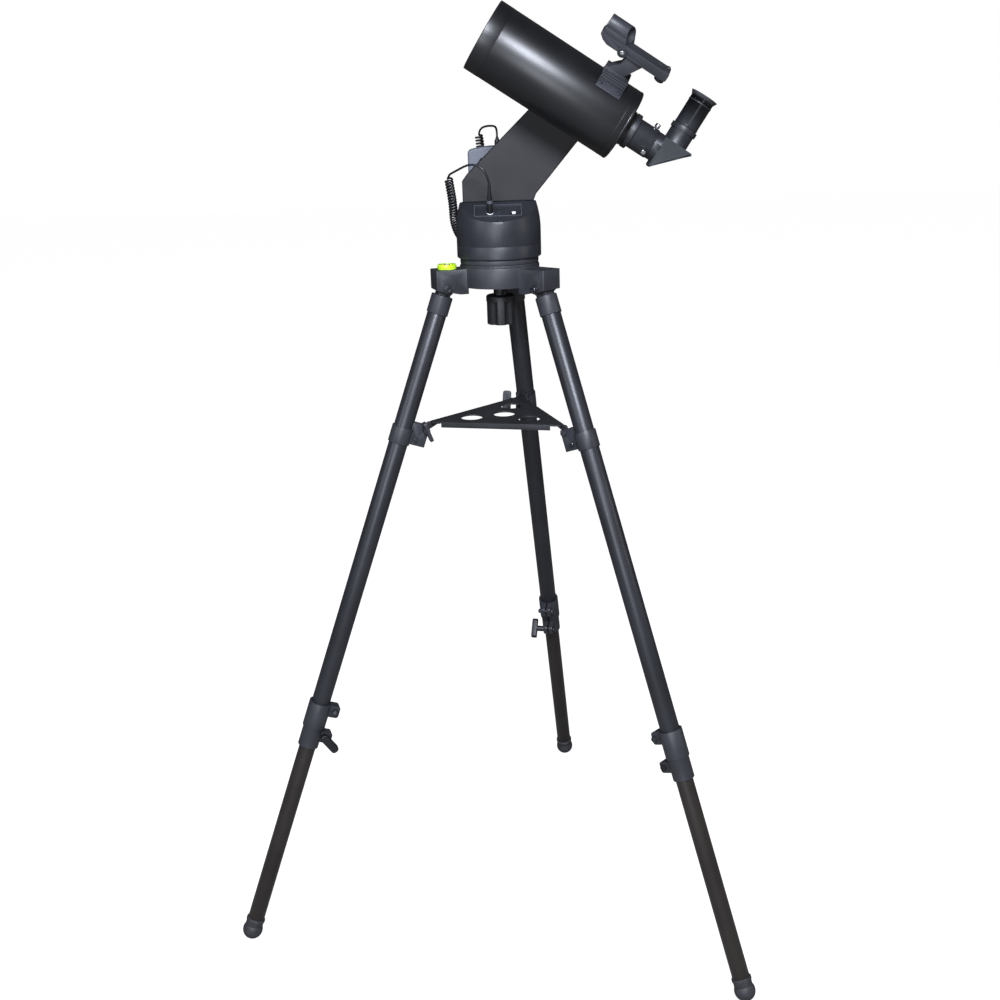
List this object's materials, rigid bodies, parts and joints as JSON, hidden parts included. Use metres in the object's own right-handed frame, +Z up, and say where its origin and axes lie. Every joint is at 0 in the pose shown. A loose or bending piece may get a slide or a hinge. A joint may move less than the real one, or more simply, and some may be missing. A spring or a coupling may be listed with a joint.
{
  "type": "telescope on tripod",
  "caption": "Short black telescope on a side-arm motor-driven mount, with a folding tripod, accessory tray, finder, diagonal, eyepiece and hand controller.",
  "frame": {"origin": "on the floor under the azimuth axis, midway between the three feet", "axes": "+Z up along the azimuth axis; the optical tube points to -X and up; +Y is the arm's side"},
  "size_m": [0.7774, 0.7642, 1.3762],
  "materials": {
    "cast_black": "moulded, fine matt grain",
    "drum_black": "moulded, satin charcoal",
    "arm_grey": "moulded, flat dark grey",
    "tube_black": "satin black paint, fine texture",
    "leg_dark": "anodised satin dark grey",
    "leg_lower": "anodised satin brown black",
    "tray_black": "powder coat",
    "steel_bright": "bright plated screws",
    "knob_black": "moulded grips",
    "diagonal_grey": "moulded, dark grey",
    "eyepiece_black": "anodised black",
    "rubber_black": "soft matt rubber",
    "glass_clear": "coated optical glass",
    "mirror_bright": "silvered",
    "level_lime": "clear lime vial",
    "gear_white": "acetal",
    "handset_grey": "moulded, slate grey",
    "switch_white": "white slider",
    "cord_black": "soft vinyl jacket"
  },
  "bodies": {
    "tripod_head": {"tripod_head": "cast_black", "bubble_level": "level_lime", "leg_pivot_bolts": "steel_bright", "base_plate": "cast_black", "azimuth_gear": "gear_white"},
    "mount_knob": {"mount_knob": "knob_black"},
    "azimuth_mount": {"drum_lower": "drum_black", "drum_upper": "drum_black", "socket_panel": "drum_black", "arm_near_cover": "arm_grey", "arm_far_cover": "arm_grey", "drive_motors": "steel_bright", "handset_case": "handset_grey", "handset_keys": "rubber_black", "cord_plug_panel": "cord_black", "cord_lead_front": "cord_black", "curly_cord_coil": "cord_black", "cord_lead_back": "cord_black", "cord_plug_handset": "cord_black"},
    "azimuth_pinion": {"azimuth_pinion": "gear_white"},
    "altitude_pinion": {"altitude_pinion": "gear_white"},
    "power_switch": {"power_switch": "switch_white"},
    "telescope": {"altitude_hub": "cast_black", "dovetail_bar": "tube_black", "optical_tube": "tube_black", "front_cell": "tube_black", "corrector_lens": "glass_clear", "rear_cell": "tube_black", "visual_back": "eyepiece_black", "finder_shoe": "cast_black", "finder_bracket": "cast_black"},
    "saddle_knob": {"saddle_knob": "knob_black"},
    "focus_knob": {"focus_knob": "knob_black"},
    "primary_mirror": {"primary_mirror": "mirror_bright"},
    "diagonal": {"diagonal_body": "diagonal_grey"},
    "eyepiece": {"eyepiece": "eyepiece_black"},
    "finder": {"finder_body": "cast_black"},
    "finder_knob": {"finder_knob": "knob_black"},
    "tray": {"accessory_tray": "tray_black"},
    "left_upper_leg": {"leg_knuckle_left": "cast_black", "leg_upper_tube_left": "leg_dark", "tray_bracket_left": "cast_black", "leg_clamp_left": "cast_black"},
    "left_lower_leg": {"leg_lower_tube_left": "leg_lower", "foot_left": "rubber_black"},
    "clamp_knob_left": {"clamp_knob_left": "knob_black"},
    "right_upper_leg": {"leg_knuckle_right": "cast_black", "leg_upper_tube_right": "leg_dark", "tray_bracket_right": "cast_black", "leg_clamp_right": "cast_black"},
    "right_lower_leg": {"leg_lower_tube_right": "leg_lower", "foot_right": "rubber_black"},
    "clamp_knob_right": {"clamp_knob_right": "knob_black"},
    "back_upper_leg": {"leg_knuckle_back": "cast_black", "leg_upper_tube_back": "leg_dark", "tray_bracket_back": "cast_black", "leg_clamp_back": "cast_black"},
    "back_lower_leg": {"leg_lower_tube_back": "leg_lower", "foot_back": "rubber_black"},
    "clamp_knob_back": {"clamp_knob_back": "knob_black"}
  },
  "joints": [
    {"name": "mount_knob_turn", "type": "hinge", "parent": "tripod_head", "child": "mount_knob", "pos_m": [0, 0, 1.00154], "axis": [0, 0, 1], "continuous": true},
    {"name": "azimuth_turn", "type": "hinge", "parent": "tripod_head", "child": "azimuth_mount", "pos_m": [0, 0, 1.02994], "axis": [0, 0, 1], "continuous": true},
    {"name": "azimuth_pinion_turn", "type": "hinge", "parent": "azimuth_mount", "child": "azimuth_pinion", "pos_m": [0.018, 0.03118, 1.04994], "axis": [0, 0, 1], "continuous": true},
    {"name": "altitude_tilt", "type": "hinge", "parent": "azimuth_mount", "child": "telescope", "pos_m": [0.1145, 0, 1.25234], "axis": [0, 1, 0], "range_deg": [-38.16, 56.84]},
    {"name": "altitude_pinion_turn", "type": "hinge", "parent": "azimuth_mount", "child": "altitude_pinion", "pos_m": [0.09127, 0.015, 1.22483], "axis": [0, 1, 0], "range_deg": [-290, 195]},
    {"name": "power_switch_slide", "type": "slide", "parent": "azimuth_mount", "child": "power_switch", "axis": [1, 0, 0], "range_m": [-0.002, 0.002]},
    {"name": "saddle_knob_turn", "type": "hinge", "parent": "telescope", "child": "saddle_knob", "pos_m": [0.1145, -0.0069, 1.25234], "axis": [0.547, 0, 0.8371], "continuous": true},
    {"name": "focus_turn", "type": "hinge", "parent": "telescope", "child": "focus_knob", "pos_m": [0.17226, -0.028, 1.21459], "axis": [-0.8371, 0, 0.547], "range_deg": [-1081, 1081]},
    {"name": "mirror_focus_slide", "type": "slide", "parent": "telescope", "child": "primary_mirror", "axis": [-0.8371, 0, 0.547], "range_m": [-0.006, 0.006]},
    {"name": "diagonal_turn", "type": "hinge", "parent": "telescope", "child": "diagonal", "pos_m": [0.20575, -0.062, 1.19271], "axis": [-0.8371, 0, 0.547], "range_deg": [-90, 90]},
    {"name": "eyepiece_slide", "type": "slide", "parent": "diagonal", "child": "eyepiece", "axis": [0.547, 0, 0.8371], "range_m": [0, 0.03]},
    {"name": "finder_tilt", "type": "hinge", "parent": "telescope", "child": "finder", "pos_m": [0.16837, -0.10378, 1.31101], "axis": [0.2568, 0.8829, 0.393], "range_deg": [-2.5, 2.5]},
    {"name": "finder_knob_turn", "type": "hinge", "parent": "finder", "child": "finder_knob", "pos_m": [0.21358, -0.09956, 1.27197], "axis": [0.483, -0.4695, 0.7391], "continuous": true},
    {"name": "fold_left_leg", "type": "hinge", "parent": "tripod_head", "child": "left_upper_leg", "pos_m": [-0.07912, -0.02405, 1.00154], "axis": [0.2909, -0.9568, 0], "range_deg": [0, 20.04]},
    {"name": "extend_left_leg", "type": "slide", "parent": "left_upper_leg", "child": "left_lower_leg", "axis": [-0.3279, -0.0997, -0.9395], "range_m": [-0.29, 0.25]},
    {"name": "clamp_knob_left_turn", "type": "hinge", "parent": "left_upper_leg", "child": "clamp_knob_left", "pos_m": [-0.28259, -0.10681, 0.33036], "axis": [0.2909, -0.9568, 0], "continuous": true},
    {"name": "fold_right_leg", "type": "hinge", "parent": "tripod_head", "child": "right_upper_leg", "pos_m": [0.06039, -0.0565, 1.00154], "axis": [0.6831, 0.7303, 0], "range_deg": [0, 20.04]},
    {"name": "extend_right_leg", "type": "slide", "parent": "right_upper_leg", "child": "right_lower_leg", "axis": [0.2502, -0.2341, -0.9395], "range_m": [-0.29, 0.25]},
    {"name": "clamp_knob_right_turn", "type": "hinge", "parent": "right_upper_leg", "child": "clamp_knob_right", "pos_m": [0.2338, -0.19132, 0.33036], "axis": [0.6831, 0.7303, 0], "continuous": true},
    {"name": "fold_back_leg", "type": "hinge", "parent": "tripod_head", "child": "back_upper_leg", "pos_m": [0.01873, 0.08055, 1.00154], "axis": [-0.974, 0.2265, 0], "range_deg": [0, 20.04]},
    {"name": "extend_back_leg", "type": "slide", "parent": "back_upper_leg", "child": "back_lower_leg", "axis": [0.0776, 0.3338, -0.9395], "range_m": [-0.29, 0.25]},
    {"name": "clamp_knob_back_turn", "type": "hinge", "parent": "back_upper_leg", "child": "clamp_knob_back", "pos_m": [0.04879, 0.29814, 0.33036], "axis": [-0.974, 0.2265, 0], "continuous": true},
    {"name": "tray_swing", "type": "hinge", "parent": "back_upper_leg", "child": "tray", "pos_m": [0.02789, 0.11994, 0.80021], "axis": [0.974, -0.2265, 0], "range_deg": [0, 110.04]}
  ],
  "couplings": [
    {"joint": "azimuth_pinion_turn", "follows": "azimuth_turn", "ratio": 5},
    {"joint": "altitude_pinion_turn", "follows": "altitude_tilt", "ratio": -5},
    {"joint": "focus_turn", "follows": "mirror_focus_slide", "rad_per_m": 3141.6},
    {"joint": "fold_left_leg", "follows": "fold_back_leg", "ratio": 1},
    {"joint": "fold_right_leg", "follows": "fold_back_leg", "ratio": 1},
    {"joint": "tray_swing", "follows": "fold_back_leg", "ratio": 5.491}
  ]
}
